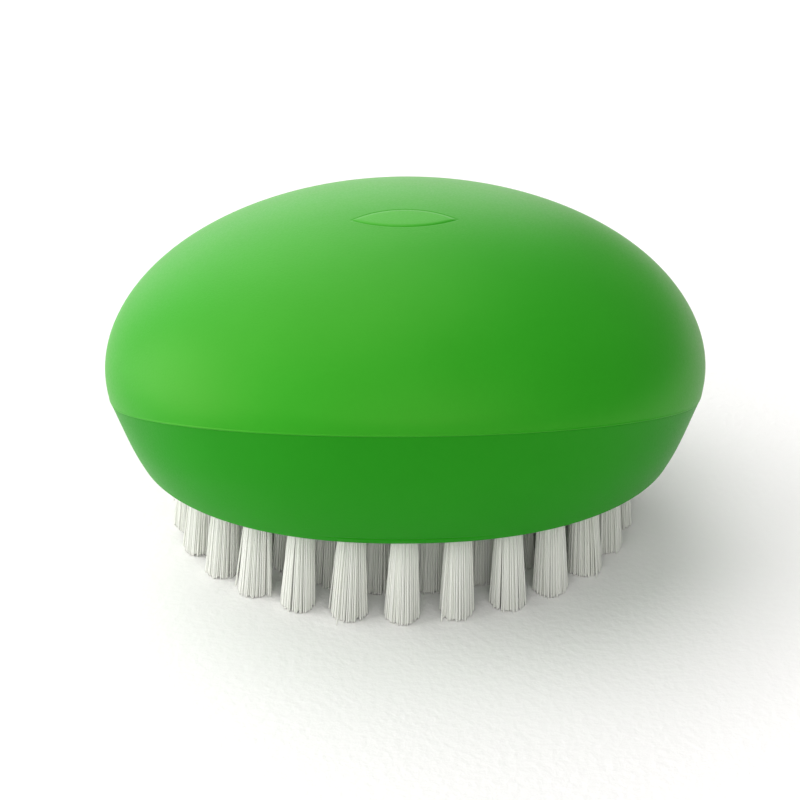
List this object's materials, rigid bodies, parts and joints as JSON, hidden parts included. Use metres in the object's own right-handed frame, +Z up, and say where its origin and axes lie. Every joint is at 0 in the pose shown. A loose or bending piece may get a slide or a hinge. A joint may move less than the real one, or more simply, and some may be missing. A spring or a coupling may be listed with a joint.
{
  "type": "vegetable brush",
  "caption": "Palm-held vegetable brush: a soft oval moulded dome grip over a rigid plate set with rings of short stiff white nylon tufts, for scrubbing produce.",
  "frame": {"origin": "centre of the oval of bristle tips, on the surface that the brush stands on", "axes": "+X along the long way of the oval grip, +Y from the pictured front to the back, +Z up through the dome"},
  "size_m": [0.085, 0.0662, 0.049],
  "materials": {
    "grip_rubber": "matte soft-touch moulded elastomer",
    "core_plastic": "plain moulded plastic, hidden",
    "plate_plastic": "satin moulded plastic in the grip's green",
    "bristle_nylon": "translucent white nylon filament",
    "staple_wire": "bright flat wire"
  },
  "bodies": {
    "root": {"bristle_plate": "plate_plastic", "centre_staple": "staple_wire", "centre_tuft": "bristle_nylon", "grip_dome": "grip_rubber", "grip_skirt": "grip_rubber", "handle_core": "core_plastic", "inner_ring_staples": "staple_wire", "inner_ring_tufts": "bristle_nylon", "outer_ring_staples": "staple_wire", "outer_tuft_01": "bristle_nylon", "outer_tuft_02": "bristle_nylon", "outer_tuft_03": "bristle_nylon", "outer_tuft_04": "bristle_nylon", "outer_tuft_05": "bristle_nylon", "outer_tuft_06": "bristle_nylon", "outer_tuft_07": "bristle_nylon", "outer_tuft_08": "bristle_nylon", "outer_tuft_09": "bristle_nylon", "outer_tuft_10": "bristle_nylon", "outer_tuft_11": "bristle_nylon", "outer_tuft_12": "bristle_nylon", "outer_tuft_13": "bristle_nylon", "outer_tuft_14": "bristle_nylon", "outer_tuft_15": "bristle_nylon", "outer_tuft_16": "bristle_nylon", "outer_tuft_17": "bristle_nylon", "outer_tuft_18": "bristle_nylon", "outer_tuft_19": "bristle_nylon", "outer_tuft_20": "bristle_nylon", "outer_tuft_21": "bristle_nylon", "outer_tuft_22": "bristle_nylon", "outer_tuft_23": "bristle_nylon", "outer_tuft_24": "bristle_nylon", "outer_tuft_25": "bristle_nylon", "outer_tuft_26": "bristle_nylon", "second_ring_staples": "staple_wire", "second_tuft_01": "bristle_nylon", "second_tuft_02": "bristle_nylon", "second_tuft_03": "bristle_nylon", "second_tuft_04": "bristle_nylon", "second_tuft_05": "bristle_nylon", "second_tuft_06": "bristle_nylon", "second_tuft_07": "bristle_nylon", "second_tuft_08": "bristle_nylon", "second_tuft_09": "bristle_nylon", "second_tuft_10": "bristle_nylon", "second_tuft_11": "bristle_nylon", "second_tuft_12": "bristle_nylon", "second_tuft_13": "bristle_nylon", "second_tuft_14": "bristle_nylon", "second_tuft_15": "bristle_nylon", "second_tuft_16": "bristle_nylon", "second_tuft_17": "bristle_nylon", "second_tuft_18": "bristle_nylon", "second_tuft_19": "bristle_nylon", "second_tuft_20": "bristle_nylon", "third_ring_staples": "staple_wire", "third_ring_tufts": "bristle_nylon"}
  },
  "joints": []
}
